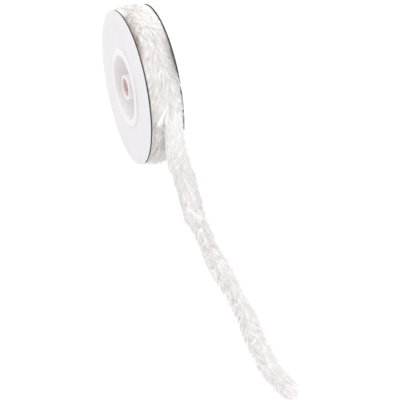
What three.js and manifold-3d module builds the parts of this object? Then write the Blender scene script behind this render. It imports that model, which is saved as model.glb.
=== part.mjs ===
// A spool of narrow faux fur trim with its loose end lying on the surface.
// Units are millimetres. The spool stands on its rims with its axis along X, the seen side towards -X.
// The loose end runs towards -Y, +Z is up, and the origin is on the surface under the spool's middle.
import * as THREE from "three";
import { mergeVertices } from "three/addons/utils/BufferGeometryUtils.js";
import Module from "manifold-3d";

// Flanges: chipboard discs with a paper facing glued on their outer faces
const FLANGE_RADIUS = 40;
const SPOOL_WIDTH = 18;
const BOARD_THICKNESS = 0.8;
const FACING_THICKNESS = 0.2;
const FACING_MARGIN = 0.5;
const FLAT_SPOT_WIDTH = 8;
const FLANGE_ARC_STEPS = 36;

// Hub: two equal mouldings that meet inside the barrel
const BARREL_RADIUS = 17.9;
const RECESS_RADIUS = 16.7;
const COLLAR_RADIUS = 20.4;
const COLLAR_HEIGHT = 1;
const COLLAR_LAND = 1.2;
const BORE_RADIUS = 5;
const TUBE_RADIUS = 6.4;
const WEB_THICKNESS = 1.2;
const HUB_STEPS = 40;

// Gap between neighbouring pieces
const CLEARANCE = 0.3;

// Winding: the last turn ends in a step at the front, where the loose end leaves
const LEAVING_ANGLE = 11;
const WOUND_RADIUS = 40.6;
const TURN_PITCH = 1.9;
const STEP_SINK = 1.9;
const CROWN = 0.9;
const STEP_ANGLE = 0.5;
const STEP_TUFT_ANGLE = 8;
const WINDING_STEPS = 140;
const WINDING_COLUMNS = 10;
const LOCKS_ROUND = 36;
const LOCK_RELIEF = 0.55;
const LOCK_SHEAR = 3.2;
const LOWEST_PILE = 0.4;

// Loose end
const LOOSE_STEPS = 72;
const LOOSE_SIDES = 10;
const TIP_LENGTH = 7;

const halfWidth = SPOOL_WIDTH / 2;
const facingInner = halfWidth - FACING_THICKNESS;
const boardInner = facingInner - BOARD_THICKNESS;
const pileHalfWidth = boardInner - CLEARANCE;
const axisHeight = Math.sqrt(FLANGE_RADIUS ** 2 - (FLAT_SPOT_WIDTH / 2) ** 2);
const radians = THREE.MathUtils.degToRad;

// Hollows beside the flanges where the pile is parted and lies lower: where each is deepest, in
// degrees up from the front, how far it spreads, and how deep it is at the flange
const HOLLOWS = [
  { side: -1, angle: 72, spread: 20, depth: 3.4 },
  { side: 1, angle: 52, spread: 17, depth: 5.2 },
  { side: 1, angle: 200, spread: 26, depth: 3 },
  { side: -1, angle: 262, spread: 30, depth: 2.6 },
];

// The loose end's route, from the winding down to the surface and along it
const ROUTE = [
  [4.2, -39.2, 46.5],
  [4.3, -40.4, 40.0],
  [4.4, -41.9, 33.0],
  [4.5, -43.2, 26.5],
  [4.6, -45.0, 20.0],
  [4.8, -48.4, 14.0],
  [4.9, -53.7, 9.3],
  [4.7, -60.6, 6.2],
  [4.2, -68.6, 4.5],
  [3.6, -77.0, 3.7],
  [2.8, -86.0, 3.5],
  [2.1, -95.0, 3.5],
  [1.5, -104.0, 3.5],
  [1.3, -113.0, 3.5],
  [1.3, -122.0, 3.5],
  [0.9, -131.0, 3.5],
  [0.8, -140.0, 3.5],
  [0.5, -149.0, 3.5],
  [-0.4, -158.0, 3.5],
  [-1.1, -167.0, 3.5],
  [-2.0, -176.0, 3.5],
  [-2.3, -185.0, 3.5],
  [-1.7, -193.5, 3.5],
  [-0.7, -201.0, 3.5],
  [0.6, -208.5, 3.5],
];

// How far the dense pile of the loose end reaches to each side of its route and through its thickness
const PILE = [
  { along: 0, left: 4.6, right: 3.2, thick: 3.2 },
  { along: 8, left: 5.7, right: 3.2, thick: 3.2 },
  { along: 15, left: 6.2, right: 3.4, thick: 3.4 },
  { along: 22, left: 6.3, right: 4.1, thick: 4.6 },
  { along: 30, left: 6.2, right: 4.8, thick: 5.8 },
  { along: 34, left: 4.2, right: 5.0, thick: 6.2 },
  { along: 42, left: 4.2, right: 5.0, thick: 6.4 },
  { along: 50, left: 4.4, right: 4.7, thick: 6.8 },
  { along: 58, left: 5.1, right: 4.2, thick: 7.0 },
  { along: 68, left: 4.4, right: 4.1, thick: 6.8 },
  { along: 84, left: 4.0, right: 3.9, thick: 7.0 },
  { along: 102, left: 4.4, right: 4.8, thick: 7.2 },
  { along: 120, left: 4.3, right: 4.3, thick: 6.8 },
  { along: 138, left: 4.1, right: 4.4, thick: 7.0 },
  { along: 156, left: 4.5, right: 4.4, thick: 6.8 },
  { along: 174, left: 4.9, right: 4.8, thick: 7.2 },
  { along: 199, left: 4.5, right: 4.8, thick: 6.6 },
];

const boardColour = new THREE.Color(0.42, 0.41, 0.4);
const paperColour = new THREE.Color(0.93, 0.93, 0.95);
const plasticColour = new THREE.Color(0.95, 0.94, 0.93);
const furColour = new THREE.Color(0.95, 0.94, 0.94);

const wasm = await Module();
wasm.setup();

// A closed geometry as a manifold-3d solid
function solidOf(geometry) {
  const bare = geometry.clone();
  bare.deleteAttribute("normal");
  bare.deleteAttribute("uv");
  const merged = mergeVertices(bare, 1e-4);
  return new wasm.Manifold(
    new wasm.Mesh({
      numProp: 3,
      vertProperties: merged.attributes.position.array,
      triVerts: new Uint32Array(merged.index.array),
    }),
  );
}

// A manifold-3d solid as a geometry
function geometryOf(solid) {
  const mesh = solid.getMesh();
  const geometry = new THREE.BufferGeometry();
  geometry.setAttribute("position", new THREE.BufferAttribute(new Float32Array(mesh.vertProperties), 3));
  geometry.setIndex(new THREE.BufferAttribute(new Uint32Array(mesh.triVerts), 1));
  geometry.computeVertexNormals();
  return geometry;
}

function namedMesh(name, geometry, color, roughness) {
  const mesh = new THREE.Mesh(geometry, new THREE.MeshStandardMaterial({ color, roughness, metalness: 0 }));
  mesh.name = name;
  return mesh;
}

// The same value for the same number each time, spread over 0 to 1
function scatter(n) {
  const wave = Math.sin(n * 12.9898 + 4.137) * 43758.5453;
  return wave - Math.floor(wave);
}

// Turns a shape drawn in X and Y and extruded along Z so that it stands in the YZ plane
const standUp = new THREE.Matrix4().makeBasis(
  new THREE.Vector3(0, 1, 0),
  new THREE.Vector3(0, 0, 1),
  new THREE.Vector3(1, 0, 0),
);

// Turns a lathed body from the Y axis to the X axis
const layAlongX = new THREE.Matrix4().makeBasis(
  new THREE.Vector3(0, 0, 1),
  new THREE.Vector3(1, 0, 0),
  new THREE.Vector3(0, 1, 0),
);

// A flat disc with a hub hole, standing across the spool's axis, with a flat on its rim if it has one
function discGeometry(radius, holeRadius, flatWidth, thickness) {
  const flatAngle = Math.asin(flatWidth / 2 / radius);
  const shape = new THREE.Shape();
  shape.absarc(0, 0, radius, -Math.PI / 2 + flatAngle, 1.5 * Math.PI - flatAngle, false);
  const hole = new THREE.Path();
  hole.absarc(0, 0, holeRadius, 0, 2 * Math.PI, true);
  shape.holes.push(hole);
  const geometry = new THREE.ExtrudeGeometry(shape, {
    depth: thickness,
    bevelEnabled: false,
    curveSegments: FLANGE_ARC_STEPS,
  });
  return geometry.applyMatrix4(standUp);
}

function makeBoard(side) {
  const geometry = discGeometry(FLANGE_RADIUS, BARREL_RADIUS + CLEARANCE, FLAT_SPOT_WIDTH, BOARD_THICKNESS);
  const name = side < 0 ? "flange_board_near" : "flange_board_far";
  const board = namedMesh(name, geometry, boardColour, 0.9);
  board.position.x = side < 0 ? -facingInner : boardInner;
  return board;
}

function makeFacing(side) {
  const radius = FLANGE_RADIUS - FACING_MARGIN;
  const geometry = discGeometry(radius, BARREL_RADIUS + CLEARANCE, 0, FACING_THICKNESS);
  const name = side < 0 ? "facing_paper_near" : "facing_paper_far";
  const facing = namedMesh(name, geometry, paperColour, 0.45);
  facing.position.x = side < 0 ? -halfWidth : facingInner;
  return facing;
}

// One hub half: web, barrel, a rounded collar on the facing with a narrow flat land, the recess and
// the bore tube. The outline is the radius against the distance out from the spool's middle.
function hubHalfGeometry() {
  const meeting = CLEARANCE / 2;
  const lip = halfWidth + COLLAR_HEIGHT;
  const web = meeting + WEB_THICKNESS;
  const beadMiddle = (RECESS_RADIUS + COLLAR_RADIUS) / 2;
  const rimRound = 0.35;
  const outline = new THREE.Path();
  outline.moveTo(BORE_RADIUS, meeting);
  outline.lineTo(BARREL_RADIUS, meeting);
  outline.lineTo(BARREL_RADIUS, halfWidth);
  outline.lineTo(COLLAR_RADIUS, halfWidth);
  outline.quadraticCurveTo(COLLAR_RADIUS, lip, beadMiddle + COLLAR_LAND / 2, lip);
  outline.lineTo(beadMiddle - COLLAR_LAND / 2, lip);
  outline.quadraticCurveTo(RECESS_RADIUS, lip, RECESS_RADIUS, lip - rimRound);
  outline.lineTo(RECESS_RADIUS, web);
  outline.lineTo(TUBE_RADIUS, web);
  outline.lineTo(TUBE_RADIUS, lip - rimRound);
  outline.quadraticCurveTo(TUBE_RADIUS, lip, TUBE_RADIUS - rimRound, lip);
  outline.lineTo(BORE_RADIUS + rimRound, lip);
  outline.quadraticCurveTo(BORE_RADIUS, lip, BORE_RADIUS, lip - rimRound);
  outline.closePath();
  const geometry = new THREE.LatheGeometry(outline.getPoints(2), HUB_STEPS);
  return geometry.applyMatrix4(layAlongX);
}

function makeHubHalf(side) {
  const name = side < 0 ? "hub_half_near" : "hub_half_far";
  const half = namedMesh(name, hubHalfGeometry(), plasticColour, 0.35);
  half.rotation.z = side < 0 ? Math.PI : 0;
  return half;
}

// A point at an angle up from the front, a radius from the spool's axis and a distance across it
function onSpool(angle, radius, x) {
  return new THREE.Vector3(x, -radius * Math.cos(radians(angle)), radius * Math.sin(radians(angle)));
}

// How far the end of the last turn hangs down beside the loose end, in uneven tufts
function stepHang(turn, x) {
  const fromStep = Math.min(turn, 1 - turn) * 360;
  const beside = THREE.MathUtils.clamp((-1 - x) / 1.6, 0, 1);
  const tuft = 0.55 + 0.45 * Math.sin(2.3 * x + 1);
  return STEP_TUFT_ANGLE * beside * tuft * Math.exp(-fromStep / 14);
}

// The pile's height on the winding, some turns on from where the loose end leaves. It sinks by one
// layer in a turn, the last of it under the end of the turn above.
function pileRadius(turn, x) {
  const angle = LEAVING_ANGLE + 360 * turn;
  const across = Math.abs(x) / pileHalfWidth;
  const sunk = TURN_PITCH * turn + STEP_SINK * THREE.MathUtils.smoothstep(turn, 0.84, 0.98);
  let radius = WOUND_RADIUS - sunk + CROWN * (1 - across ** 2);
  for (const hollow of HOLLOWS) {
    const away = Math.exp(-(((angle - hollow.angle) / hollow.spread) ** 2));
    const toFlange = THREE.MathUtils.smoothstep((x * hollow.side) / pileHalfWidth, 0.15, 1);
    radius -= hollow.depth * away * toFlange;
  }
  // The locks lie back from the middle in a herringbone, each rising to its tip
  const lock = (angle / 360) * LOCKS_ROUND + (across * LOCK_SHEAR) / 2;
  const rise = lock - Math.floor(lock);
  const strength = 0.6 + 0.4 * scatter(Math.floor(lock) + (x > 0 ? 100 : 0));
  radius += LOCK_RELIEF * strength * (0.5 - rise) * Math.min(1, 12 * turn);
  const lowest = (axisHeight - LOWEST_PILE) / Math.max(0.01, -Math.sin(radians(angle)));
  return angle > 180 ? Math.min(radius, lowest) : radius;
}

// A closed surface from rings of points, each ring joined to the next, and the last to the first or capped
function ringSurface(rings, closed) {
  const count = rings[0].length;
  const position = rings.flat().flatMap((p) => [p.x, p.y, p.z]);
  const index = [];
  const spans = closed ? rings.length : rings.length - 1;
  for (let i = 0; i < spans; i++) {
    const next = (i + 1) % rings.length;
    for (let j = 0; j < count; j++) {
      const side = (j + 1) % count;
      const [a, b, c, d] = [i * count + j, i * count + side, next * count + side, next * count + j];
      index.push(a, b, c, a, c, d);
    }
  }
  if (!closed) {
    const last = (rings.length - 1) * count;
    for (let j = 1; j < count - 1; j++) {
      index.push(0, j + 1, j);
      index.push(last, last + j, last + j + 1);
    }
  }
  const geometry = new THREE.BufferGeometry();
  geometry.setAttribute("position", new THREE.Float32BufferAttribute(position, 3));
  geometry.setIndex(index);
  return geometry;
}

// One four-sided lock of pile, from its root inside the fur to its tip
function lockSolid(root, direction, length, radius) {
  const cone = new THREE.ConeGeometry(radius, length, 4);
  cone.translate(0, length / 2, 0);
  const up = new THREE.Vector3(0, 1, 0);
  const turn = new THREE.Quaternion().setFromUnitVectors(up, direction.clone().normalize());
  cone.applyQuaternion(turn);
  cone.translate(root.x, root.y, root.z);
  return solidOf(cone);
}

function windingBody() {
  const inner = BARREL_RADIUS + CLEARANCE;
  const rings = [];
  for (let i = 0; i < WINDING_STEPS; i++) {
    const turn = ((i / (WINDING_STEPS - 1)) * (360 - STEP_ANGLE)) / 360;
    const angle = LEAVING_ANGLE + 360 * turn;
    const ring = [
      onSpool(angle, inner, pileHalfWidth),
      onSpool(angle - stepHang(turn, -pileHalfWidth), inner, -pileHalfWidth),
    ];
    for (let k = 0; k <= WINDING_COLUMNS; k++) {
      const x = pileHalfWidth * (-1 + (2 * k) / WINDING_COLUMNS);
      ring.push(onSpool(angle - stepHang(turn, x), pileRadius(turn, x), x));
    }
    rings.push(ring);
  }
  return solidOf(ringSurface(rings, true));
}

// Locks that stand out along both edges of the winding, leaning towards the loose end
function windingLocks() {
  const locks = [];
  const perSide = 22;
  for (const side of [-1, 1]) {
    for (let i = 0; i < perSide; i++) {
      const angle = 24 + (200 * (i + 0.6 * scatter(i + 31 * side))) / perSide;
      const turn = (angle - LEAVING_ANGLE) / 360;
      const x = side * (4.2 + 1.3 * scatter(i + 7));
      const root = onSpool(angle, pileRadius(turn, x) - 0.8, x);
      const out = onSpool(angle, 1, 0);
      const back = onSpool(angle - 90, 1, 0);
      const lean = new THREE.Vector3(side * 0.35, 0, 0).addScaledVector(out, 0.42).addScaledVector(back, 0.8);
      locks.push(lockSolid(root, lean, 4.2 + 1.2 * scatter(i + 3), 1.1));
    }
  }
  return locks;
}

// Tufts of the last turn that hang over the turn below, beside the loose end
function stepTufts() {
  const tufts = [];
  for (const x of [-6.4, -5.4, -4.2, -3.2]) {
    const root = onSpool(LEAVING_ANGLE + 1, WOUND_RADIUS - 1.2, x);
    const down = onSpool(LEAVING_ANGLE - 90, 1, 0);
    down.x = 0.3 * (scatter(x) - 0.5);
    tufts.push(lockSolid(root, down, 7 + 3.5 * scatter(x), 1.25));
  }
  return tufts;
}

function makeWinding() {
  const whole = [...windingLocks(), ...stepTufts()].reduce((sum, lock) => sum.add(lock), windingBody());
  return namedMesh("fur_winding", geometryOf(whole), furColour, 1);
}

// The pile's reach at a distance along the loose end, from the rows of the table
function pileAt(along) {
  const next = Math.max(1, PILE.findIndex((row) => row.along >= along));
  const [from, to] = [PILE[next - 1], PILE[next]];
  const share = THREE.MathUtils.clamp((along - from.along) / (to.along - from.along), 0, 1);
  const mix = (key) => THREE.MathUtils.lerp(from[key], to[key], share);
  return { left: mix("left"), right: mix("right"), thick: mix("thick") };
}

// Where the loose end is at a distance along it, with its directions ahead, to the right and outwards
function looseFrame(curve, length, along) {
  const share = THREE.MathUtils.clamp(along / length, 0, 1);
  const at = curve.getPointAt(share);
  const ahead = curve.getTangentAt(share);
  const across = new THREE.Vector3(1, 0, 0).addScaledVector(ahead, -ahead.x).normalize();
  const outward = new THREE.Vector3().crossVectors(ahead, across);
  return { at, ahead, across, outward };
}

// How much the pile swells or sinks, in slow waves along the loose end and around it
function lumpAt(along, angle) {
  const long = Math.sin((2 * Math.PI * along) / 23 + angle);
  const short = Math.sin((2 * Math.PI * along) / 9.5 - 2 * angle + 1.3);
  return 0.045 * long + 0.05 * short;
}

function looseBody(curve, length) {
  const rings = [];
  for (let i = 0; i <= LOOSE_STEPS; i++) {
    const along = (length * i) / LOOSE_STEPS;
    const { at, across, outward } = looseFrame(curve, length, along);
    const pile = pileAt(along);
    const toTip = THREE.MathUtils.clamp((length - along) / TIP_LENGTH, 0.03, 1);
    const taper = Math.sqrt(1 - (1 - toTip) ** 2);
    const free = THREE.MathUtils.smoothstep(along, 16, 40);
    const ring = [];
    for (let j = 0; j < LOOSE_SIDES; j++) {
      const angle = (2 * Math.PI * j) / LOOSE_SIDES;
      const lump = 1 + free * lumpAt(along, angle);
      const reach = Math.cos(angle) > 0 ? pile.right : pile.left;
      const point = at
        .clone()
        .addScaledVector(across, Math.cos(angle) * reach * taper * lump)
        .addScaledVector(outward, (Math.sin(angle) * pile.thick * taper * lump) / 2);
      point.z = Math.max(point.z, 0);
      ring.push(point);
    }
    rings.push(ring);
  }
  return solidOf(ringSurface(rings, false));
}

// Locks along both sides and the top of the loose end, leaning towards its tip
function looseLocks(curve, length) {
  const locks = [];
  const rows = 26;
  const spacing = (length - 37) / rows;
  for (let i = 0; i < rows; i++) {
    for (const side of [-1, 0, 1]) {
      const along = 30 + spacing * (i + 0.5 * scatter(i * 3 + side));
      const { at, ahead, across, outward } = looseFrame(curve, length, along);
      const pile = pileAt(along);
      const reach = side < 0 ? pile.left : pile.right;
      const sideways = side ? side * (reach - 1.9) : 3.2 * (scatter(i + 50) - 0.5);
      const rise = side ? 0.1 * pile.thick * (scatter(i + 9) - 0.2) : pile.thick / 2 - 1.2;
      const root = at.clone().addScaledVector(across, sideways).addScaledVector(outward, rise);
      const lean = ahead
        .clone()
        .addScaledVector(across, side * (0.34 + 0.14 * scatter(i + 5 * side)))
        .addScaledVector(outward, side ? 0.03 : 0.22);
      locks.push(lockSolid(root, lean, 7 + 2.5 * scatter(i + 17 * side), side ? 1.6 : 1.4));
    }
  }
  return locks;
}

function makeLooseEnd() {
  const points = ROUTE.map(([x, y, z]) => new THREE.Vector3(x, y, z));
  const curve = new THREE.CatmullRomCurve3(points, false, "centripetal");
  const length = curve.getLength();
  const whole = looseLocks(curve, length).reduce((sum, lock) => sum.add(lock), looseBody(curve, length));
  return namedMesh("fur_loose_end", geometryOf(whole), furColour, 1);
}

const spool = new THREE.Group();
spool.position.z = axisHeight;
for (const side of [-1, 1]) spool.add(makeBoard(side), makeFacing(side), makeHubHalf(side));
spool.add(makeWinding());

const part = new THREE.Group();
part.add(spool, makeLooseEnd());

export default part;
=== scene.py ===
import math

import bpy
import numpy as np
from mathutils import Matrix, Vector


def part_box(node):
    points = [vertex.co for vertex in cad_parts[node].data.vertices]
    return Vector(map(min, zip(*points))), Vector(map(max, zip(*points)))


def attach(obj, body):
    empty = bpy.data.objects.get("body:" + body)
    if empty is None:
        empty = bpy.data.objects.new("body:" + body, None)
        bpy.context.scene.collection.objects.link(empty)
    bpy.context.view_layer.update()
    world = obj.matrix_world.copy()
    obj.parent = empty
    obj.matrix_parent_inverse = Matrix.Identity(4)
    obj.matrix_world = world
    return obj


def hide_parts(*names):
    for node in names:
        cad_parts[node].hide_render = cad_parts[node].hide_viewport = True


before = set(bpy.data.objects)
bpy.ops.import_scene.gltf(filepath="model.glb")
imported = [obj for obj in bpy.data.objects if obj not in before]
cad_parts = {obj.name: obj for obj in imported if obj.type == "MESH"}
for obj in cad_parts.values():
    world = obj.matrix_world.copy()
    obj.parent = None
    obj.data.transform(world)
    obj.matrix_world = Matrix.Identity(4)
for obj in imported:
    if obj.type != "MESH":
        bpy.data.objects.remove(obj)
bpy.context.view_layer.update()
MM = 0.001


def cad_sizes(node):
    """A node's lowest and highest corner in millimetres."""
    low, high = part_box(node)
    return np.array(low) / MM, np.array(high) / MM


# Sizes read from the frame
BOARD_LOW, BOARD_HIGH = cad_sizes("flange_board_far")
_, FACING_HIGH = cad_sizes("facing_paper_far")
HUB_LOW, HUB_HIGH = cad_sizes("hub_half_far")
_, WINDING_HIGH = cad_sizes("fur_winding")
FLANGE_RADIUS = 40.0
AXIS_HEIGHT = BOARD_HIGH[2] - FLANGE_RADIUS
BOARD_INNER = BOARD_LOW[0]
BOARD_OUTER = BOARD_HIGH[0]
FACING_OUTER = FACING_HIGH[0]
TURNED_EDGE = 0.06
COLLAR_TOP = HUB_HIGH[0]
COLLAR_RADIUS = HUB_HIGH[1]
BARREL_RADIUS = 17.9
HOLE_RADIUS = 18.2
RECESS_RADIUS = 16.7
TUBE_RADIUS = 6.4
BORE_RADIUS = 5.0
TUBE_SET_BACK = 0.9
WEB_INNER = HUB_LOW[0]
WEB_THICKNESS = 1.2
WEB_OUTER = WEB_INNER + WEB_THICKNESS
PILE_HALF_WIDTH = WINDING_HIGH[0]
DISC_STEPS = 288
HUB_STEPS = 160
# The outermost part of a board whose cut edge is uneven, and the part painted as its edge
UNEVEN_BAND = 1.5
EDGE_BAND = 0.2
# The radii between which a hub half is its web, painted lighter, and within which it is its bore, painted in
# shade
WEB_BAND = (TUBE_RADIUS + 0.2, RECESS_RADIUS - 0.8)
BORE_BAND = BORE_RADIUS + 0.02

# The winding's form, as in the solid
LEAVING_ANGLE = 11.0
WOUND_RADIUS = 40.6
TURN_PITCH = 1.9
STEP_SINK = 1.9
CROWN = 0.9
LOWEST_PILE = 0.4
STEP_HANG = 8.0
# In turns: where the surface sinks towards the step
SINK_TURNS = (0.84, 0.98)
# In degrees: where the pile starts to lie flat over the top, and where it ends
FLAT_START = (74, 88)
FLAT_END = (130, 160)
# The gap beside the near flange: how far across, where it ends past the top, and where it deepens
GAP_REACH = (2.8, 7.0)
GAP_END = (94, 106)
GAP_DEEPENS = (46, 66)
GAP_DEPTH = 1.0
# The undercoats' grids and how far under the surface they lie, less where the pile lies flat
WINDING_GRID = (420, 34)
WINDING_UNDERCOAT_DEPTH = 1.2
FLAT_RISE = 0.5
LOOSE_GRID = (360, 28)
LOOSE_UNDERCOAT_DEPTH = 0.55
# The part of a turn that the winding's undercoat leaves open at the step
STEP_OPENING = 0.0015

# The camera: the photograph's angle, its scale, and where the spool's middle shows in its frame
PICTURE_SIZE = 400
CAMERA_AZIMUTH = -19.714
CAMERA_ELEVATION = 36.484
CAMERA_DISTANCE = 1000.0
FOCAL_PIXELS = 1960.8
SPOOL_IN_PICTURE = (142.22, 84.39)
SENSOR_MM = 36.0

# Hollows beside the flanges where the pile is parted: side, angle, spread, depth at the flange and
# the share of the half width where each starts
HOLLOWS = (
    (-1, 66, 12, 3.4, 0.72),
    (1, 52, 15, 1.8, 0.3),
    (1, 200, 26, 3.0, 0.15),
    (-1, 262, 30, 2.6, 0.15),
)

# The loose end's route, from the winding down to the surface and along it
ROUTE = (
    (4.2, -39.2, 46.5),
    (4.3, -40.4, 40.0),
    (4.4, -41.9, 33.0),
    (4.5, -43.2, 26.5),
    (4.6, -45.0, 20.0),
    (4.8, -48.4, 14.0),
    (4.9, -53.7, 9.3),
    (4.7, -60.6, 6.2),
    (4.2, -68.6, 4.5),
    (3.6, -77.0, 3.7),
    (2.8, -86.0, 3.5),
    (2.1, -95.0, 3.5),
    (1.5, -104.0, 3.5),
    (1.3, -113.0, 3.5),
    (1.3, -122.0, 3.5),
    (0.9, -131.0, 3.5),
    (0.8, -140.0, 3.5),
    (0.5, -149.0, 3.5),
    (-0.4, -158.0, 3.5),
    (-1.1, -167.0, 3.5),
    (-2.0, -176.0, 3.5),
    (-2.3, -185.0, 3.5),
    (-1.7, -193.5, 3.5),
    (-0.7, -201.0, 3.5),
    (0.6, -208.5, 3.5),
)

# The dense pile of the loose end: distance along, reach to the left, to the right, and thickness
PILE_ROWS = (
    (0, 4.6, 3.2, 3.2),
    (8, 5.7, 3.2, 3.2),
    (15, 6.2, 3.4, 3.4),
    (22, 6.3, 4.1, 4.6),
    (30, 6.2, 5.0, 5.8),
    (33, 4.6, 6.4, 6.2),
    (42, 4.4, 6.1, 6.4),
    (50, 5.5, 5.0, 6.8),
    (58, 6.0, 4.2, 7.0),
    (68, 4.6, 4.0, 6.8),
    (84, 4.2, 3.9, 7.0),
    (100, 5.4, 5.3, 7.2),
    (108, 5.0, 5.2, 7.2),
    (120, 4.5, 4.0, 6.8),
    (138, 4.4, 4.3, 7.0),
    (148, 5.2, 5.0, 7.0),
    (158, 5.2, 4.4, 6.8),
    (174, 4.9, 4.8, 7.2),
    (199, 4.5, 4.8, 6.6),
)
TIP_LENGTH = 7.0

# How near the surface the pile may come
LOWEST_STRAND = 0.1
LOWEST_LOOSE_STRAND = 0.05

# The lamps: name, place in metres, size and power, all turned to one point
LAMPS = (
    ("key", (-0.1, 0.3, 1.25), 0.9, 8),
    ("side", (-0.9, 0.5, 0.9), 0.7, 2.6),
    ("front", (0.1, -1.2, 0.6), 0.9, 5.5),
)
LAMP_TARGET = (0, -0.06, 0.03)
WORLD_STRENGTH = 0.62
FLOOR_HALF_WIDTH = 6.0
FLOOR_GLOW = 0.93
DIFFUSE_BOUNCES = 12


def make_camera():
    """The camera, placed so that the spool's middle shows where the photograph has it."""
    azimuth, elevation = math.radians(CAMERA_AZIMUTH), math.radians(CAMERA_ELEVATION)
    back = Vector((
        math.sin(azimuth) * math.cos(elevation),
        -math.cos(azimuth) * math.cos(elevation),
        math.sin(elevation),
    ))
    right = Vector((math.cos(azimuth), math.sin(azimuth), 0))
    up = back.cross(right)
    spool = Vector((0, 0, AXIS_HEIGHT))
    to_right = (SPOOL_IN_PICTURE[0] - PICTURE_SIZE / 2) / FOCAL_PIXELS
    to_top = (PICTURE_SIZE / 2 - SPOOL_IN_PICTURE[1]) / FOCAL_PIXELS
    place = spool - CAMERA_DISTANCE * (right * to_right + up * to_top - back)
    camera = bpy.data.objects.new("camera", bpy.data.cameras.new("camera"))
    camera.data.sensor_width = SENSOR_MM
    camera.data.lens = FOCAL_PIXELS * SENSOR_MM / PICTURE_SIZE
    camera.data.clip_start = 0.05
    camera.data.clip_end = 50
    turn = Matrix((right, up, back)).transposed().to_4x4()
    camera.matrix_world = Matrix.Translation(place * MM) @ turn
    bpy.context.scene.collection.objects.link(camera)
    bpy.context.scene.camera = camera


# Meshes

def mesh_object(name, points, faces, material, smooth=True):
    """An object from points in millimetres and an array of faces, all with the same number of corners."""
    faces = np.asarray(faces, np.int32)
    corners = faces.shape[1]
    mesh = bpy.data.meshes.new(name)
    mesh.vertices.add(len(points))
    mesh.vertices.foreach_set("co", (np.asarray(points) * MM).astype(np.float32).ravel())
    mesh.loops.add(faces.size)
    mesh.loops.foreach_set("vertex_index", faces.ravel())
    mesh.polygons.add(len(faces))
    mesh.polygons.foreach_set("loop_start", np.arange(0, faces.size, corners, dtype=np.int32))
    mesh.polygons.foreach_set("use_smooth", np.full(len(faces), smooth))
    mesh.update(calc_edges=True)
    mesh.validate()
    mesh.materials.append(material)
    piece = bpy.data.objects.new(name, mesh)
    bpy.context.scene.collection.objects.link(piece)
    return piece


def grid_faces(rows, columns, close_rows, close_columns):
    """Quads over a grid of points, joined round in either direction where asked."""
    i = np.arange(rows if close_rows else rows - 1)[:, None]
    j = np.arange(columns if close_columns else columns - 1)[None, :]
    a = i * columns + j
    b = i * columns + (j + 1) % columns
    c = ((i + 1) % rows) * columns + (j + 1) % columns
    d = ((i + 1) % rows) * columns + j
    return np.stack(np.broadcast_arrays(a, b, c, d), -1).reshape(-1, 4)


def revolved(name, outline, steps, material, side, wave=None):
    """A closed outline of radius and distance along, turned round the spool's axis on one side of it."""
    outline = np.asarray(outline, float)
    angle = np.linspace(0, 2 * np.pi, steps, endpoint=False)[:, None]
    radius = np.broadcast_to(outline[None, :, 0], (steps, len(outline)))
    if wave is not None:
        radius = wave(angle, radius)
    along = np.broadcast_to(outline[None, :, 1], radius.shape) * side
    points = np.stack([along, -radius * np.cos(angle), AXIS_HEIGHT + radius * np.sin(angle)], -1)
    points[..., 2] = np.maximum(points[..., 2], 0)
    faces = grid_faces(steps, len(outline), True, True)
    if side < 0:
        faces = faces[:, ::-1]
    return mesh_object(name, points.reshape(-1, 3), faces, material)


def rounded(corners, radii, steps=4):
    """The closed outline of these corners with each corner rounded by its own radius."""
    corners = np.asarray(corners, float)
    outline = []
    for i, corner in enumerate(corners):
        before, after = corners[i - 1] - corner, corners[(i + 1) % len(corners)] - corner
        if radii[i] <= 0:
            outline.append(corner)
            continue
        start = corner + before / np.linalg.norm(before) * radii[i]
        end = corner + after / np.linalg.norm(after) * radii[i]
        for t in np.linspace(0, 1, steps + 1):
            outline.append((1 - t) ** 2 * start + 2 * t * (1 - t) * corner + t**2 * end)
    return np.array(outline)


# Materials

def new_material(name):
    """A new material with its nodes, links and main shader."""
    material = bpy.data.materials.new(name)
    material.use_nodes = True
    nodes = material.node_tree.nodes
    return material, nodes, material.node_tree.links, nodes["Principled BSDF"]


def add_node(nodes, kind, **settings):
    """A shader node with its properties and input values set by name."""
    node = nodes.new(kind)
    for key, value in settings.items():
        if key in node.inputs:
            node.inputs[key].default_value = value
        else:
            setattr(node, key, value)
    return node


def noise(nodes, links, scale, detail, stretch=(1, 1, 1)):
    """Noise in the object's own coordinates; returns its node."""
    place = add_node(nodes, "ShaderNodeTexCoord")
    mapping = add_node(nodes, "ShaderNodeMapping", Scale=stretch)
    texture = add_node(nodes, "ShaderNodeTexNoise", Scale=scale, Detail=detail)
    links.new(place.outputs["Object"], mapping.inputs["Vector"])
    links.new(mapping.outputs["Vector"], texture.inputs["Vector"])
    return texture


def ramp(nodes, links, source, low, high, start=0.3, end=0.7):
    """A ramp between two colours, driven by a socket."""
    node = add_node(nodes, "ShaderNodeValToRGB")
    node.color_ramp.elements[0].position = start
    node.color_ramp.elements[0].color = (*low, 1)
    node.color_ramp.elements[1].position = end
    node.color_ramp.elements[1].color = (*high, 1)
    links.new(source, node.inputs["Fac"])
    return node


def bump(nodes, links, bsdf, source, strength, distance):
    """Relief on a shader, driven by a socket."""
    node = add_node(nodes, "ShaderNodeBump", Strength=strength, Distance=distance)
    links.new(source, node.inputs["Height"])
    links.new(node.outputs["Normal"], bsdf.inputs["Normal"])


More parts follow.
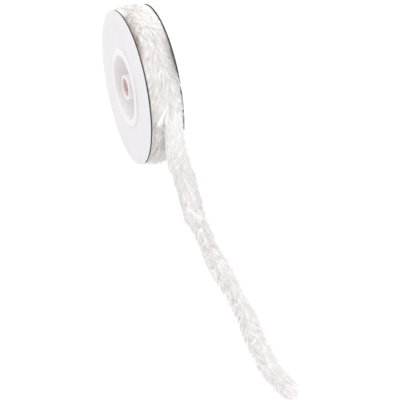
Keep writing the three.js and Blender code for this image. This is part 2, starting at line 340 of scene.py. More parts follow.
def paper_material():
    """White facing paper: faint cloudiness, a fine tooth and a slight calendered sheen."""
    material, nodes, links, bsdf = new_material("facing_paper")
    cloud = noise(nodes, links, scale=90, detail=4)
    tint = ramp(nodes, links, cloud.outputs["Fac"], (0.755, 0.735, 0.755), (0.785, 0.77, 0.785))
    links.new(tint.outputs["Color"], bsdf.inputs["Base Color"])
    tooth = noise(nodes, links, scale=2600, detail=6)
    bump(nodes, links, bsdf, tooth.outputs["Fac"], strength=0.12, distance=0.00005)
    bsdf.inputs["Roughness"].default_value = 0.42
    bsdf.inputs["Specular IOR Level"].default_value = 0.4
    return material


def board_material(name, dark, light, stretch):
    """Chipboard of short pressed fibres."""
    material, nodes, links, bsdf = new_material(name)
    fibres = noise(nodes, links, scale=1500, detail=8, stretch=stretch)
    tint = ramp(nodes, links, fibres.outputs["Fac"], dark, light)
    links.new(tint.outputs["Color"], bsdf.inputs["Base Color"])
    bump(nodes, links, bsdf, fibres.outputs["Fac"], strength=0.6, distance=0.00012)
    bsdf.inputs["Roughness"].default_value = 0.92
    bsdf.inputs["Specular IOR Level"].default_value = 0.2
    return material


def plastic_material(name, dark, light):
    """White moulded plastic: semi-gloss with faint flow marks."""
    material, nodes, links, bsdf = new_material(name)
    flow = noise(nodes, links, scale=60, detail=3)
    tint = ramp(nodes, links, flow.outputs["Fac"], dark, light)
    links.new(tint.outputs["Color"], bsdf.inputs["Base Color"])
    skin = noise(nodes, links, scale=420, detail=3)
    bump(nodes, links, bsdf, skin.outputs["Fac"], strength=0.08, distance=0.0001)
    bsdf.inputs["Roughness"].default_value = 0.4
    bsdf.inputs["Specular IOR Level"].default_value = 0.3
    bsdf.inputs["Subsurface Weight"].default_value = 0.25
    bsdf.inputs["Subsurface Radius"].default_value = (1.0, 0.75, 0.6)
    bsdf.inputs["Subsurface Scale"].default_value = 0.002
    return material


def undercoat_material(name, dark, light, gap_shade=None):
    """The matted base of the pile, with painted shade, a duller colour deep in its gaps, if one is given."""
    material, nodes, links, bsdf = new_material(name)
    mat_noise = noise(nodes, links, scale=900, detail=6)
    tint = ramp(nodes, links, mat_noise.outputs["Fac"], dark, light)
    colour = tint.outputs["Color"]
    if gap_shade:
        tone = add_node(nodes, "ShaderNodeAttribute", attribute_name="pile_tone_and_shade")
        shade = ramp(nodes, links, tone.outputs["Fac"], gap_shade, (1.0, 1.0, 1.0), 0.0, 1.0)
        blend = add_node(nodes, "ShaderNodeMix", data_type="RGBA", blend_type="MULTIPLY")
        blend.inputs[0].default_value = 1
        links.new(colour, blend.inputs[6])
        links.new(shade.outputs["Color"], blend.inputs[7])
        colour = blend.outputs[2]
    links.new(colour, bsdf.inputs["Base Color"])
    bump(nodes, links, bsdf, mat_noise.outputs["Fac"], strength=0.8, distance=0.0004)
    bsdf.inputs["Roughness"].default_value = 0.9
    bsdf.inputs["Sheen Weight"].default_value = 0.3
    return material


def pile_material(name, dark, light):
    """The strands: white synthetic fibre, from a duller to a lighter colour by their tone, which holds
    random tone and painted shade.
    """
    material, nodes, links, bsdf = new_material(name)
    tone = add_node(nodes, "ShaderNodeAttribute", attribute_name="pile_tone_and_shade")
    tint = ramp(nodes, links, tone.outputs["Fac"], dark, light, 0.0, 1.0)
    links.new(tint.outputs["Color"], bsdf.inputs["Base Color"])
    bsdf.inputs["Roughness"].default_value = 0.5
    bsdf.inputs["Specular IOR Level"].default_value = 0.35
    bsdf.inputs["Sheen Weight"].default_value = 0.2
    return material


PAPER = paper_material()
BOARD_FACE = board_material("chipboard_face", (0.4, 0.345, 0.3), (0.56, 0.49, 0.43), (1, 1, 1))
BOARD_EDGE = board_material("chipboard_edge", (0.035, 0.032, 0.032), (0.11, 0.1, 0.098), (5, 1, 1))
PLASTIC = plastic_material("hub_plastic", (0.82, 0.795, 0.8), (0.85, 0.825, 0.83))
# Painted light and shade: the web is a lighter copy of the hub's plastic, the bore a darker, warmer one
PLASTIC_WEB_LIT = plastic_material("hub_web_lit", (0.94, 0.915, 0.91), (0.965, 0.94, 0.935))
PLASTIC_BORE_SHADED = plastic_material("hub_bore_shaded", (0.74, 0.64, 0.625), (0.8, 0.7, 0.685))
# Painted shade: the colour the winding's undercoat takes deep in the gap beside the near flange
GAP_SHADE_COLOUR = (0.5, 0.42, 0.375)
UNDERCOAT = undercoat_material("fur_undercoat", (0.88, 0.855, 0.845), (0.96, 0.94, 0.93), GAP_SHADE_COLOUR)
# The loose end's undercoat is duller than its strands: partly the matted base's own colour, partly painted
# shade where it shows between them.
LOOSE_UNDERCOAT = undercoat_material("fur_loose_undercoat", (0.8, 0.78, 0.775), (0.9, 0.88, 0.875))
PILE = pile_material("fur_pile", (0.6, 0.565, 0.555), (0.995, 0.987, 0.977))
LOOSE_PILE = pile_material("fur_loose_pile", (0.865, 0.843, 0.845), (0.99, 0.98, 0.982))


# Spool

def side_name(side):
    """The near side is towards -X."""
    return "near" if side < 0 else "far"


def from_axis(face):
    """How far a face's middle is from the spool's axis."""
    return math.hypot(face.center.y / MM, face.center.z / MM - AXIS_HEIGHT)


def uneven_edge(angle, radius):
    """The cut edge is a little uneven, as a die leaves it."""
    uneven = 0.03 * np.sin(23 * angle) + 0.02 * np.sin(57 * angle + 1.0)
    return np.where(radius > FLANGE_RADIUS - UNEVEN_BAND, radius + uneven - 0.03, radius)


def make_board(side):
    """A chipboard disc with a hub hole, dark on its cut edge."""
    edge = 0.16
    outline = rounded(
        [
            (HOLE_RADIUS, BOARD_INNER),
            (FLANGE_RADIUS, BOARD_INNER),
            (FLANGE_RADIUS, BOARD_OUTER - TURNED_EDGE),
            (FLANGE_RADIUS - 0.1, BOARD_OUTER),
            (HOLE_RADIUS, BOARD_OUTER),
        ],
        (edge, edge, 0.03, 0.03, edge),
    )
    name = "flange_board_" + side_name(side)
    piece = revolved("board_" + side_name(side), outline, DISC_STEPS, BOARD_FACE, side, uneven_edge)
    piece.data.materials.append(BOARD_EDGE)
    for face in piece.data.polygons:
        face.material_index = int(from_axis(face) > FLANGE_RADIUS - EDGE_BAND)
    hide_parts(name)
    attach(piece, "root")


def make_facing(side):
    """The paper disc on a board's outer face, turned a little over its edge."""
    outline = rounded(
        [
            (HOLE_RADIUS, BOARD_OUTER + 0.01),
            (FLANGE_RADIUS - 0.09, BOARD_OUTER + 0.01),
            (FLANGE_RADIUS - 0.02, BOARD_OUTER - TURNED_EDGE + 0.02),
            (FLANGE_RADIUS + 0.02, BOARD_OUTER - TURNED_EDGE + 0.02),
            (FLANGE_RADIUS, FACING_OUTER - 0.02),
            (HOLE_RADIUS, FACING_OUTER),
        ],
        (0.04, 0.02, 0.01, 0.01, 0.2, 0.08),
    )
    name = "facing_paper_" + side_name(side)
    piece = revolved("facing_" + side_name(side), outline, DISC_STEPS, PAPER, side)
    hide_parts(name)
    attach(piece, "root")


def make_hub_half(side):
    """A hub half: collar, barrel, web and bore tube, the web painted lighter as if in more light, and the
    bore painted in darker, warmer shade.
    """
    bead = (RECESS_RADIUS + COLLAR_RADIUS) / 2
    outline = rounded(
        [
            (BORE_RADIUS, WEB_INNER),
            (BARREL_RADIUS, WEB_INNER),
            (BARREL_RADIUS, FACING_OUTER),
            (COLLAR_RADIUS, FACING_OUTER),
            (COLLAR_RADIUS - 0.25, COLLAR_TOP - 0.5),
            (bead + 0.5, COLLAR_TOP),
            (RECESS_RADIUS + 0.15, COLLAR_TOP),
            (RECESS_RADIUS - 0.25, WEB_OUTER),
            (TUBE_RADIUS + 0.15, WEB_OUTER),
            (TUBE_RADIUS, COLLAR_TOP - TUBE_SET_BACK),
            (BORE_RADIUS, COLLAR_TOP - TUBE_SET_BACK),
        ],
        (0.1, 0.1, 0.1, 0.05, 0.4, 0.8, 0.6, 0.6, 0.6, 0.55, 0.5),
    )
    name = "hub_half_" + side_name(side)
    piece = revolved("hub_" + side_name(side), outline, HUB_STEPS, PLASTIC, side)
    piece.data.materials.append(PLASTIC_WEB_LIT)
    piece.data.materials.append(PLASTIC_BORE_SHADED)
    for face in piece.data.polygons:
        out = from_axis(face)
        if WEB_BAND[0] < out < WEB_BAND[1]:
            face.material_index = 1
        elif out < BORE_BAND:
            face.material_index = 2
    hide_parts(name)
    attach(piece, "root")


# Winding

def smooth_step(value, low, high):
    """From 0 at the low value to 1 at the high one, eased at both."""
    share = np.clip((value - low) / (high - low), 0, 1)
    return share * share * (3 - 2 * share)


def bell(value, middle, spread):
    """1 at the middle value, falling away on both sides over the spread."""
    return np.exp(-(((value - middle) / spread) ** 2))


def degrees_at(turn):
    """The angle up from the front, some turns on from where the loose end leaves."""
    return LEAVING_ANGLE + 360 * turn


def pile_radius(turn, x):
    """The winding's surface, some turns on from where the loose end leaves; before it, along the tangent."""
    angle = degrees_at(turn)
    across = np.abs(x) / PILE_HALF_WIDTH
    sunk = TURN_PITCH * np.maximum(turn, 0) + STEP_SINK * smooth_step(turn, *SINK_TURNS)
    radius = WOUND_RADIUS - sunk + CROWN * (1 - np.minimum(across, 1.2) ** 2)
    for side, middle, spread, depth, start in HOLLOWS:
        away = bell(angle, middle, spread)
        radius = radius - depth * away * smooth_step(x * side / PILE_HALF_WIDTH, start, 1)
    before = np.minimum(turn, 0)
    radius = radius / np.cos(np.radians(np.maximum(360 * before, -60)))
    lowest = (AXIS_HEIGHT - LOWEST_PILE) / np.maximum(0.01, -np.sin(np.radians(angle)))
    return np.where(angle > 180, np.minimum(radius, lowest), radius)


def lies_flat(turn):
    """How far the pile is pressed flat, over the top of the winding."""
    degrees = degrees_at(turn)
    return smooth_step(degrees, *FLAT_START) * smooth_step(-degrees, -FLAT_END[1], -FLAT_END[0])


def step_hang(turn, x):
    """How far, in degrees, the end of the last turn hangs down beside the loose end."""
    from_step = np.minimum(turn, 1 - turn) * 360
    beside = np.clip((-1 - x) / 1.6, 0, 1)
    return STEP_HANG * beside * (0.55 + 0.45 * np.sin(2.3 * x + 1)) * np.exp(-from_step / 14)


def winding_points(turn, radius, x, hang=0):
    """Places on the winding, some of them hanging down by an angle in degrees."""
    angle = np.radians(degrees_at(turn) - hang)
    return np.stack([x + 0 * angle, -radius * np.cos(angle), AXIS_HEIGHT + radius * np.sin(angle)], -1)


def beside_near(degrees, x):
    """How close to the near flange a place is, from the front to a little past the top."""
    return smooth_step(-x, *GAP_REACH) * (1 - smooth_step(degrees, *GAP_END))


def near_gap(turn, x):
    """How deep in the gap beside the near flange a place is: deepest near the top, faint at the front. It
    sinks the undercoat and sets its painted shade.
    """
    degrees = degrees_at(turn)
    return beside_near(degrees, x) * (0.1 + 0.9 * smooth_step(degrees, *GAP_DEEPENS))


def set_tone_and_shade(piece, tone):
    """Stores how light each point of the fur is, painted shade included."""
    attribute = piece.data.attributes.new("pile_tone_and_shade", "FLOAT", "POINT")
    attribute.data.foreach_set("value", tone.astype(np.float32).ravel())


def make_winding_undercoat():
    """The matted pile of the winding, a little under its surface, with its spiral step."""
    steps, columns = WINDING_GRID
    turn = np.linspace(0, 1 - STEP_OPENING, steps)[:, None]
    x = np.linspace(-PILE_HALF_WIDTH, PILE_HALF_WIDTH, columns)[None, :]
    gap = near_gap(turn, x)
    flat = lies_flat(turn)
    depth = WINDING_UNDERCOAT_DEPTH - FLAT_RISE * flat + GAP_DEPTH * gap * flat
    ripple = 0.22 * np.sin(900 * turn + 3 * np.abs(x)) + 0.15 * np.sin(311 * turn - 5 * x)
    outer = winding_points(turn, pile_radius(turn, x) - depth + ripple, x, step_hang(turn, x))
    ends = np.array([[PILE_HALF_WIDTH, -PILE_HALF_WIDTH]])
    inner = winding_points(turn, np.full((steps, 2), HOLE_RADIUS), ends, step_hang(turn, ends))
    points = np.concatenate([outer, inner], 1)
    faces = grid_faces(steps, columns + 2, True, True)
    piece = mesh_object("fur_winding_undercoat", points.reshape(-1, 3), faces[:, ::-1], UNDERCOAT)
    # Painted shade: the undercoat's colour darkens deep in the gap beside the near flange.
    tone = np.ones((steps, columns + 2))
    tone[:, :columns] = 1 - gap
    set_tone_and_shade(piece, tone)
    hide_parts("fur_winding")
    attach(piece, "root")


# Strands

# Where along a strand its points are, and the share of its width that it has at all but the last
STRAND_TIMES = np.array([0.0, 0.3, 0.65, 1.0])
STRAND_WIDTHS = np.array([1.0, 0.85, 0.55])
# How thick strands are at the root, at the least and at the most, and how many a lock has
STRAND_WIDTH = (0.13, 0.22)
LOOSE_STRAND_WIDTH = (0.12, 0.2)
BRIGHT_WIDTH = 0.27
STRANDS_PER_LOCK = 13
HANGING_STRANDS_PER_LOCK = 22
LOOSE_STRANDS_PER_LOCK = 16
HANGING_LOCKS = 73
BRIGHT_LOCKS = 3
LOOSE_LOCKS = 640
# How much lower the pile is at the near flange and at the far one
EDGE_DROP = (1.5, 0.5)
# How much the tips rise under the last turn's end, underneath, and over the far rim
COVERED_RISE = 1.6
UNDER_RISE = 0.8
TUFT_RISE = 1.1
# Where that is, in turns
COVERED_TURNS = (0.93, 0.97)
UNDER_TURNS = (0.82, 0.05)
TUFT_TURNS = (0.056, 0.014)
# How far from the boards strands stop, and how much farther out than that they may reach over the near
# rim and over the far one
FLANGE_CLEARANCE = 0.12
RIM_REACH = (1.4, 1.9)
# Half the width over which the roots lie, and the least and greatest length of a lock
ROOT_HALF_WIDTH = 7.3
LOCK_LENGTH = (5.0, 8.0)
LOOSE_LOCK_LENGTH = (6.0, 9.0)
# How far a lock's strands differ from it, in the order of the values that its curve takes
LOCK_SPREADS = (0.6 / 250, 0.4, 0.1, 0.7, 0.25, 0.3)
HANGING_SPREADS = (0.4 / 250, 0.3, 0.08, 0.7, 0.2, 0.3)
LOOSE_SPREADS = (0.6, 0.085, 0.7, 0.35, 0.3, 0.2)
# The share of strands that stray from their lock, and how far the others are drawn to it
STRAY_SHARE = 0.12
HANGING_STRAY_SHARE = 0.06
LOOSE_STRAY_SHARE = 0.14
DRAWN = 0.68
LOOSE_DRAWN = 0.6
# How light the locks are: middle and spread
LOCK_TONE = (0.97, 0.1)
LOOSE_LOCK_TONE = (0.98, 0.06)
# Where shade is painted on the pile, as middle and spread in degrees or in millimetres along the loose end
UNDER_AT = (326, 20)
PARTED_AT = (54, 17)
TURNING_AT = (42, 26)
# How much darker the painted shade makes it there, at the most: underneath and the more beyond the middle,
# beside the near flange, in the parting, where the loose end turns, on top of it and at its left
UNDER_SHADE = (0.18, 0.2)
BESIDE_SHADE = 0.55
PARTED_SHADE = 0.6
TURNING_SHADE = 0.7
TOP_SHADE = 0.3
LEFT_SHADE = 0.4
# Steps that spread points evenly over a square
SCATTER_STEPS = (0.7548776662, 0.5698402910)
# The winding's three parts: letter, first and last turn, and locks
WINDING_PARTS = (("a", 0.0, 0.3, 760), ("b", 0.3, 0.65, 680), ("c", 0.65, 1.0, 680))
# The lighter lock across the end of the last turn: turn and x of its root, heading, length and rise
BRIGHT_LOCK = (0.012, 0.0, math.radians(-38), 11.6, 2.0)
CLUMP_GROWTH = STRAND_TIMES[None, :] ** 1.2


def strands(name, curves, width, tone, seed, material=None):
    """Closed three-sided tapered strands along curves of root to tip points, joined in one mesh."""
    count, steps, _ = curves.shape
    draw = np.random.default_rng(seed)
    tangent = np.gradient(curves, axis=1)
    tangent /= np.linalg.norm(tangent, axis=-1, keepdims=True) + 1e-9
    reference = draw.normal(size=(count, 1, 3))
    first = np.cross(tangent, reference)
    first /= np.linalg.norm(first, axis=-1, keepdims=True) + 1e-9
    second = np.cross(tangent, first)
    rings = []
    for corner in range(3):
        angle = 2 * np.pi * corner / 3
        out = first * math.cos(angle) + second * math.sin(angle)
        half = 0.5 * width[:, None, None] * STRAND_WIDTHS[None, :, None]
        rings.append(curves[:, :-1] + out[:, :-1] * half)
    rings = np.stack(rings, 2).reshape(count, -1, 3)
    points = np.concatenate([rings, curves[:, -1:]], 1)
    each = points.shape[1]
    faces = [(0, 2, 1)]
    for ring in range(steps - 2):
        for corner in range(3):
            a, b = 3 * ring + corner, 3 * ring + (corner + 1) % 3
            faces += [(a, b, b + 3), (a, b + 3, a + 3)]
    last = 3 * (steps - 2)
    faces += [(last + c, last + (c + 1) % 3, each - 1) for c in range(3)]
    faces = (np.arange(count)[:, None, None] * each + np.array(faces)[None]).reshape(-1, 3)
    piece = mesh_object(name, points.reshape(-1, 3), faces, material or PILE, False)
    along = np.repeat(STRAND_TIMES, [3] * (steps - 1) + [1])
    # Painted shade: each strand's colour is darker towards its root, deep in the pile.
    shade = np.clip(tone[:, None] * (0.82 + 0.18 * np.minimum(1, 1.5 * along[None, :])), 0, 1)
    set_tone_and_shade(piece, shade)
    return piece


def even_scatter(count, start):
    """Points spread evenly over the unit square without a visible grid."""
    index = np.arange(count) + 0.5 + start
    return (SCATTER_STEPS[0] * index) % 1, (SCATTER_STEPS[1] * index) % 1


def grow(draw, curve, places, spreads, per_lock, stray_share, drawn=DRAWN):
    """Locks of strands: each strand starts near its lock's place and is drawn to the lock's line."""
    count = len(places[0])
    owner = np.repeat(np.arange(count), per_lock)
    n = len(owner)
    own = [place[owner] + draw.normal(0, spread, n) for place, spread in zip(places, spreads)]
    stray = draw.random(n) < stray_share
    clump = np.where(stray, 0.1, np.clip(draw.normal(drawn, 0.14, n), 0.15, 0.95))
    lines = curve(*own)
    guides = curve(*[place[owner] for place in places])
    pull = clump[:, None] * CLUMP_GROWTH
    return owner, [line + (guide - line) * pull for line, guide in zip(lines, guides)]


def lock_tones(draw, owner, count, middle, spread):
    """How light each strand is: mostly by its lock, a little by itself."""
    lock = np.clip(draw.normal(middle, spread, count), 0.3, 1)
    return np.clip(lock[owner] + draw.normal(0, 0.6 * spread, len(owner)), 0.2, 1)


def pile_shade(turn, x):
    """Painted shade: the pile's colour is darker underneath, beside the near flange and in the parting
    beside the far one.
    """
    degrees = degrees_at(turn)
    under = bell(degrees, *UNDER_AT)
    beside = beside_near(degrees, x)
    beyond = smooth_step(x, -5, 0)
    parted = bell(degrees, *PARTED_AT) * smooth_step(x, 1.5, 6.0)
    shaded = 1 - (UNDER_SHADE[0] + UNDER_SHADE[1] * beyond) * under
    return shaded * (1 - BESIDE_SHADE * beside) * (1 - PARTED_SHADE * parted)


def winding_curve(turn, x, heading, length, rise, sink):
    """Lines that lie back over the winding from their roots, as turn, distance across and radius."""
    t = STRAND_TIMES[None, :]
    turn, x, heading = turn[:, None], x[:, None], heading[:, None]
    run = length[:, None] * t
    turns = turn - run * np.cos(heading) / (2 * np.pi * pile_radius(turn, x))
    across = x + run * np.sin(heading) * (1 - 0.12 * t)
    height = -np.abs(sink)[:, None] * (1 - t) ** 1.4 + rise[:, None] * t**1.5
    height = height + COVERED_RISE * smooth_step(turns, *COVERED_TURNS) * t
    height = height + UNDER_RISE * bell(turns, *UNDER_TURNS) * t
    over_rim = bell(turns, *TUFT_TURNS) * smooth_step(across, 3.5, 7)
    height = height + TUFT_RISE * over_rim * t
    drop = np.where(across < 0, EDGE_DROP[0], EDGE_DROP[1])
    height = height - drop * smooth_step(np.abs(across), 4.0, PILE_HALF_WIDTH)
    return turns, across, pile_radius(turns, across) + height


def keep_between_flanges(turns, across, radius):
    """Strands stop at the flanges, but pass over the far rim at the front, and over both from the top on."""
    inside = BOARD_INNER - FLANGE_CLEARANCE
    above = smooth_step(radius, FLANGE_RADIUS + 0.1, FLANGE_RADIUS + 0.9)
    degrees = degrees_at(turns)
    top = smooth_step(degrees, 80, 95)
    low = smooth_step(-degrees, -22, -12) + 1.2 * bell(degrees, 31, 5)
    low = low + 0.6 * smooth_step(degrees, 84, 92)
    return np.clip(across, -inside - RIM_REACH[0] * above * top, inside + RIM_REACH[1] * above * low)


def winding_headings(draw, turn, x):
    """The pile parts along a spine, which runs over to the loose end, and lies back to both flanges."""
    degrees = degrees_at(turn)
    spine = 4.2 * np.exp(-(degrees - LEAVING_ANGLE) / 30)
    spine = spine + 0.5 * np.sin(degrees / 13) + 0.35 * np.sin(degrees / 5.1 + 1)
    side = np.where(x + draw.normal(0, 0.5, len(x)) < spine, -1, 1)
    share = np.clip(np.abs(x - spine) / (PILE_HALF_WIDTH - side * spine), 0, 1)
    waver = 7 * np.sin(degrees / 4.3 + 2 * side) + 5 * np.sin(degrees / 2.1 - x)
    swept = lies_flat(turn)
    waver = waver + draw.normal(0, 1, len(x)) * (7 + 11 * swept) + 30 * swept
    return side * np.radians(9 + 36 * share**0.8) + np.radians(waver)


def winding_curves(lines):
    """The points of these lines, kept between the flanges and above the surface."""
    turns, across, radius = lines
    across = keep_between_flanges(turns, across, radius)
    curves = winding_points(turns, radius, across)
    curves[..., 2] = np.maximum(curves[..., 2], LOWEST_STRAND)
    return curves


def make_winding_pile():
    """The winding's strands, in three parts round it."""
    for index, (letter, low, high, locks) in enumerate(WINDING_PARTS):
        draw = np.random.default_rng(100 + index)
        along, wide = even_scatter(locks, 1000 * index)
        turn = low + (high - low) * along
        x = (2 * wide - 1) * ROOT_HALF_WIDTH
        heading = winding_headings(draw, turn, x)
        flat = lies_flat(turn)
        rise = draw.gamma(1.6, 0.42, locks) * (1 - 0.65 * flat)
        places = (turn, x, heading, draw.uniform(*LOCK_LENGTH, locks), rise, 1.4 - 0.7 * flat)
        owner, lines = grow(draw, winding_curve, places, LOCK_SPREADS, STRANDS_PER_LOCK, STRAY_SHARE)
        curves = winding_curves(lines)
        tone = lock_tones(draw, owner, locks, *LOCK_TONE) * pile_shade(turn, x)[owner]
        width = draw.uniform(*STRAND_WIDTH, len(owner))
        piece = strands("fur_winding_pile_" + letter, curves, width, tone, 200 + index)
        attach(piece, "root")


def make_hanging_locks():
    """The last turn's pile beside the loose end, which hangs over the turn below."""
    draw = np.random.default_rng(150)
    locks = HANGING_LOCKS
    along, wide = even_scatter(locks, 7)
    x = -7.5 + 9.2 * wide
    turn = 0.002 + 0.03 * along
    near = smooth_step(-x, 1, 7.5)
    beside = smooth_step(-x, 5.2, 6.6)
    turn = turn - 7 / 360 * beside
    length = 6.5 + 3.0 * near + draw.uniform(0, 2.0, locks)
    heading = np.radians(-24 + 20 * near + draw.normal(0, 9, locks))
    rise = draw.uniform(-0.3, 0.3, locks)
    bright = np.arange(locks) >= locks - BRIGHT_LOCKS
    for values, value in zip((turn, x, heading, length, rise), BRIGHT_LOCK):
        values[bright] = value
    places = (turn, x, heading, length, rise, np.where(bright, 0.3, 1.2))
    owner, lines = grow(
        draw, winding_curve, places, HANGING_SPREADS, HANGING_STRANDS_PER_LOCK, HANGING_STRAY_SHARE
    )
    curves = winding_curves(lines)
    width = np.where(bright[owner], BRIGHT_WIDTH, draw.uniform(*STRAND_WIDTH, len(owner)))
    tone = lock_tones(draw, owner, locks, *LOCK_TONE) * pile_shade(turn, x)[owner]
    tone = np.where(bright[owner], 1, tone)
    piece = strands("fur_hanging_locks", curves, width, tone, 250)
    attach(piece, "root")


# Loose end

def spline(points, samples):
    """A smooth line through points, by centripetal Catmull-Rom, evenly sampled by its length."""
    points = np.asarray(points, float)
    padded = np.vstack([2 * points[0] - points[1], points, 2 * points[-1] - points[-2]])
    fine = []
    for p0, p1, p2, p3 in zip(padded, padded[1:], padded[2:], padded[3:]):
        gaps = [math.sqrt(np.linalg.norm(b - a)) for a, b in ((p0, p1), (p1, p2), (p2, p3))]
        m1 = gaps[1] * ((p1 - p0) / gaps[0] - (p2 - p0) / (gaps[0] + gaps[1]) + (p2 - p1) / gaps[1])
        m2 = gaps[1] * ((p2 - p1) / gaps[1] - (p3 - p1) / (gaps[1] + gaps[2]) + (p3 - p2) / gaps[2])
        u = np.linspace(0, 1, 24, endpoint=False)[:, None]
        cubic = 2 * p1 - 2 * p2 + m1 + m2
        square = -3 * p1 + 3 * p2 - 2 * m1 - m2
        fine.append(cubic * u**3 + square * u**2 + m1 * u + p1)
    fine = np.vstack([*fine, points[-1:]])
    along = np.concatenate([[0], np.cumsum(np.linalg.norm(np.diff(fine, axis=0), axis=1))])
    even = np.linspace(0, along[-1], samples)
    return even, np.stack([np.interp(even, along, fine[:, k]) for k in range(3)], 1)


LOOSE_ALONG, LOOSE_LINE = spline(ROUTE, 400)
LOOSE_LENGTH = LOOSE_ALONG[-1]
LOOSE_AHEAD = np.gradient(LOOSE_LINE, axis=0)
LOOSE_AHEAD /= np.linalg.norm(LOOSE_AHEAD, axis=1, keepdims=True)
LOOSE_ACROSS = np.array([1.0, 0, 0]) - LOOSE_AHEAD * LOOSE_AHEAD[:, :1]
LOOSE_ACROSS /= np.linalg.norm(LOOSE_ACROSS, axis=1, keepdims=True)
LOOSE_OUTWARD = np.cross(LOOSE_AHEAD, LOOSE_ACROSS)
PILE_TABLE = np.array(PILE_ROWS, float)


def loose_points(along, angle, proud):
    """Points round the loose end, at an angle from its right side, some millimetres proud of its pile."""
    inside = np.clip(along, 0, LOOSE_LENGTH)
    beyond = along - inside
    line, ahead, across, outward = (
        np.stack([np.interp(inside, LOOSE_ALONG, values[:, k]) for k in range(3)], -1)
        for values in (LOOSE_LINE, LOOSE_AHEAD, LOOSE_ACROSS, LOOSE_OUTWARD)
    )
    left, right, thick = (np.interp(inside, PILE_TABLE[:, 0], PILE_TABLE[:, k]) for k in (1, 2, 3))
    to_tip = np.clip((LOOSE_LENGTH + 1 - along) / TIP_LENGTH, 0.02, 1)
    taper = np.sqrt(1 - (1 - to_tip) ** 2)
    toward_right = 0.5 + 0.5 * np.cos(angle)
    reach = left + (right - left) * smooth_step(toward_right, 0, 1)
    lump = 0.045 * np.sin(2 * np.pi * along / 23 + angle)
    lump = lump + 0.05 * np.sin(2 * np.pi * along / 9.5 - 2 * angle + 1.3)
    free = smooth_step(along, 16, 40)
    size = taper * (1 + free * lump)
    points = line + ahead * beyond[..., None]
    points = points + across * (np.cos(angle) * (reach * size + proud))[..., None]
    points = points + outward * (np.sin(angle) * (thick / 2 * size + proud))[..., None]
    points[..., 2] = np.maximum(points[..., 2], LOWEST_LOOSE_STRAND)
    return points


def make_loose_undercoat():
    """The matted pile of the loose end, a closed tube a little under its surface."""
    steps, sides = LOOSE_GRID
    along = np.linspace(0, LOOSE_LENGTH, steps)[:, None]
    angle = np.linspace(0, 2 * np.pi, sides, endpoint=False)[None, :]
    ripple = 0.12 * np.sin(along * 2.9 + 3 * angle) + 0.1 * np.sin(along * 1.3 - 5 * angle)
    points = loose_points(along + 0 * angle, angle + 0 * along, ripple - LOOSE_UNDERCOAT_DEPTH)
    faces = grid_faces(steps, sides, False, True)
    ends = points[[0, -1]].mean(1)
    points = np.vstack([points.reshape(-1, 3), ends])
    first, last = len(points) - 2, len(points) - 1
    j = np.arange(sides)
    rim = (steps - 1) * sides
    caps = np.vstack([
        np.stack([(j + 1) % sides, j, np.full(sides, first)], 1),
        np.stack([rim + j, rim + (j + 1) % sides, np.full(sides, last)], 1),
    ])
    halves = np.vstack([faces[:, [0, 1, 2]], faces[:, [0, 2, 3]], caps])
    piece = mesh_object("fur_loose_end_undercoat", points, halves, LOOSE_UNDERCOAT)
    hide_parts("fur_loose_end")
    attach(piece, "root")
    return piece


def loose_curve(along, angle, length, sideways, rise, sink):
    """Lines that run on along the loose end from their roots, as distance along, angle and height."""
    t = STRAND_TIMES[None, :]
    angle = angle[:, None]
    runs = along[:, None] + length[:, None] * t * (1 - 0.08 * t)
    turned = angle - np.sign(np.cos(angle)) * sideways[:, None] * np.sin(angle) * t / 4.5
    height = -np.abs(sink)[:, None] * (1 - t) ** 1.4 + rise[:, None] * t**1.5
    return runs, turned, height


def loose_shade(along, angle):
    """Painted shade: the pile's colour is darker where the loose end turns to lie down, and on top and to
    the left beyond.
    """
    turning = bell(along, *TURNING_AT)
    on_top = np.maximum(0, np.sin(angle)) ** 2 * smooth_step(along, 14, 30)
    on_left = np.maximum(0, -np.cos(angle)) * smooth_step(along, 30, 60)
    return (1 - TURNING_SHADE * turning) * (1 - TOP_SHADE * on_top) * (1 - LEFT_SHADE * on_left)


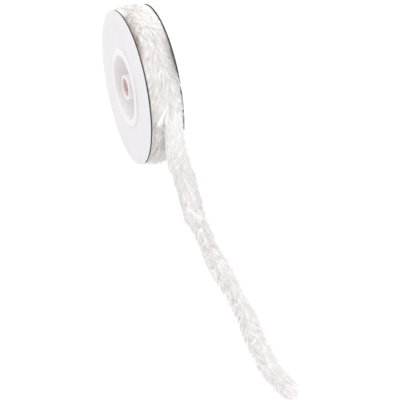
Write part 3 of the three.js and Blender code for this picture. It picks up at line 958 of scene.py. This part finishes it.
def make_loose_pile():
    """The loose end's strands, in two parts along it."""
    pieces = []
    spans = (("a", -2.0, 97.0), ("b", 97.0, LOOSE_LENGTH - 2.5))
    for index, (letter, start, end) in enumerate(spans):
        draw = np.random.default_rng(300 + index)
        locks = LOOSE_LOCKS
        share, round_it = even_scatter(locks, 500 * index)
        along = start + (end - start) * share
        angle = 2 * np.pi * round_it
        # Locks that would be under the lying part, where they can't be seen, stand on top of it
        hidden = (np.sin(angle) < -0.45) & (along > 60)
        angle = np.where(hidden, -angle, angle)
        length = draw.uniform(*LOOSE_LOCK_LENGTH, locks)
        side = np.abs(np.cos(angle))
        rise = draw.gamma(2.2, 0.16, locks) + 0.5 * side
        places = (along, angle, length, draw.normal(0.4, 1.0, locks), rise, np.full(locks, 1.25))
        owner, lines = grow(
            draw, loose_curve, places, LOOSE_SPREADS, LOOSE_STRANDS_PER_LOCK, LOOSE_STRAY_SHARE, LOOSE_DRAWN
        )
        curves = loose_points(*lines)
        width = draw.uniform(*LOOSE_STRAND_WIDTH, len(owner))
        tone = lock_tones(draw, owner, locks, *LOOSE_LOCK_TONE) * loose_shade(along, angle)[owner]
        piece = strands("fur_loose_end_pile_" + letter, curves, width, tone, 400 + index, LOOSE_PILE)
        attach(piece, "root")
        pieces.append(piece)
    return pieces


def make_loose_end():
    """The loose end: its undercoat and its pile."""
    undercoat = make_loose_undercoat()
    pile = make_loose_pile()


# Surroundings

def make_floor():
    """A plain pale floor."""
    mesh = bpy.data.meshes.new("floor")
    signs = ((-1, -1), (1, -1), (1, 1), (-1, 1))
    mesh.from_pydata([(i * FLOOR_HALF_WIDTH, j * FLOOR_HALF_WIDTH, 0) for i, j in signs], [], [(0, 1, 2, 3)])
    floor = bpy.data.objects.new("floor", mesh)
    bpy.context.scene.collection.objects.link(floor)
    material, _, _, bsdf = new_material("floor")
    bsdf.inputs["Base Color"].default_value = (0.2, 0.2, 0.2, 1)
    bsdf.inputs["Roughness"].default_value = 0.9
    bsdf.inputs["Emission Color"].default_value = (1, 1, 1, 1)
    bsdf.inputs["Emission Strength"].default_value = FLOOR_GLOW
    mesh.materials.append(material)


def area_light(name, place, size, power):
    """A round soft lamp, turned to the object."""
    light = bpy.data.lights.new(name, "AREA")
    light.shape = "DISK"
    light.size = size
    light.energy = power
    lamp = bpy.data.objects.new(name, light)
    lamp.location = place
    lamp.rotation_mode = "QUATERNION"
    lamp.rotation_quaternion = (Vector(place) - Vector(LAMP_TARGET)).to_track_quat("Z", "Y")
    lamp.visible_camera = False
    bpy.context.scene.collection.objects.link(lamp)


def make_light():
    """Plain soft studio light."""
    world = bpy.data.worlds.new("studio")
    world.use_nodes = True
    world.node_tree.nodes["Background"].inputs["Color"].default_value = (1, 1, 1, 1)
    world.node_tree.nodes["Background"].inputs["Strength"].default_value = WORLD_STRENGTH
    bpy.context.scene.world = world
    for name, place, size, power in LAMPS:
        area_light(name, place, size, power)
    bpy.context.scene.view_settings.view_transform = "Standard"
    bpy.context.scene.cycles.diffuse_bounces = DIFFUSE_BOUNCES


make_camera()
make_loose_end()
for spool_side in (-1, 1):
    make_board(spool_side)
    make_facing(spool_side)
    make_hub_half(spool_side)
make_winding_undercoat()
make_winding_pile()
make_hanging_locks()
make_floor()
make_light()
